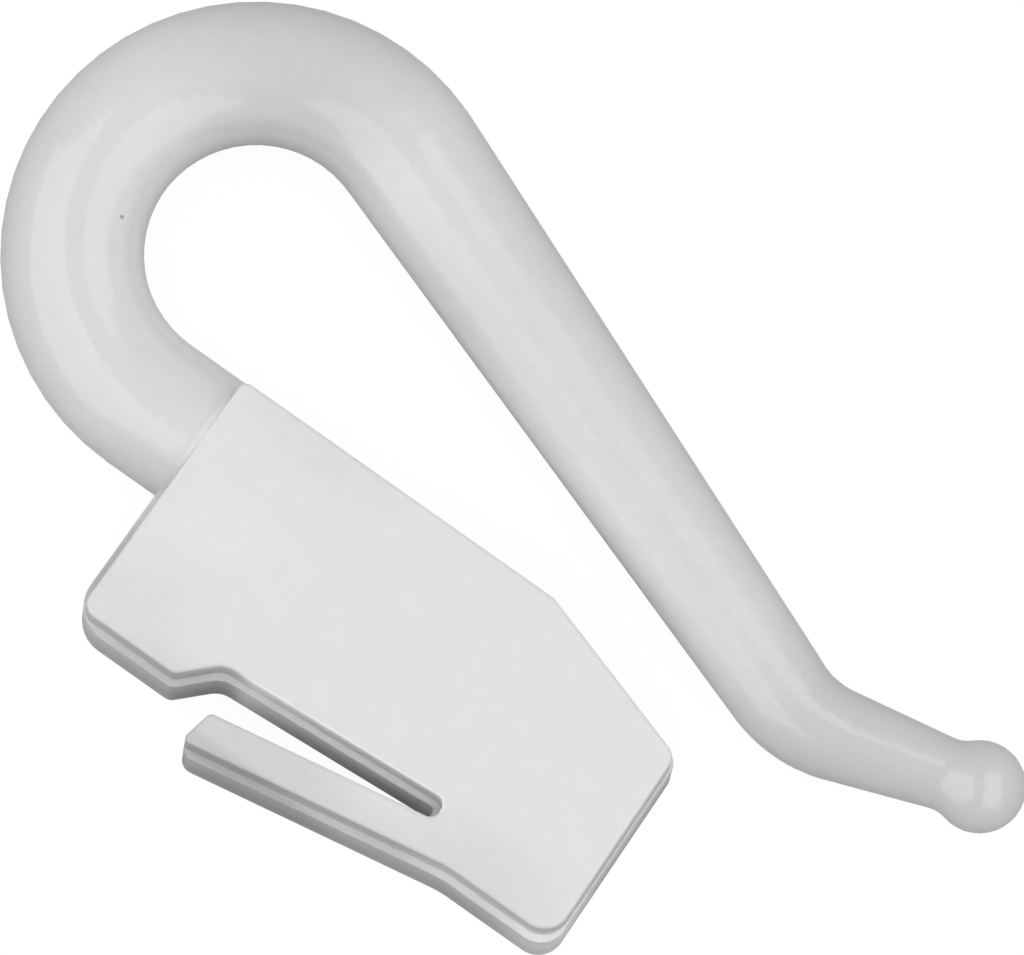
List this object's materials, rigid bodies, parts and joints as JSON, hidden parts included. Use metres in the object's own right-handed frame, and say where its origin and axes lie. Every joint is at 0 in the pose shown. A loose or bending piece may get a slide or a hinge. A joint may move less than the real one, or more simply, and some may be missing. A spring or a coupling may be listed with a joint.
{
  "type": "curtain hook",
  "caption": "Moulded plastic curtain hook: a round rod bent into an eye, with a long tapering arm and ball tip, on a flat clip plate with a sprung tongue.",
  "frame": {"origin": "centre of the round eye, at the middle of the thickness", "axes": "+X along the clip plate towards the ball tip, +Y from the plate towards the long arm, +Z out of the front face"},
  "size_m": [0.03, 0.0178, 0.0038],
  "materials": {
    "plastic": "satin white moulding"
  },
  "bodies": {
    "root": {"curtain_hook": "plastic"}
  },
  "joints": []
}
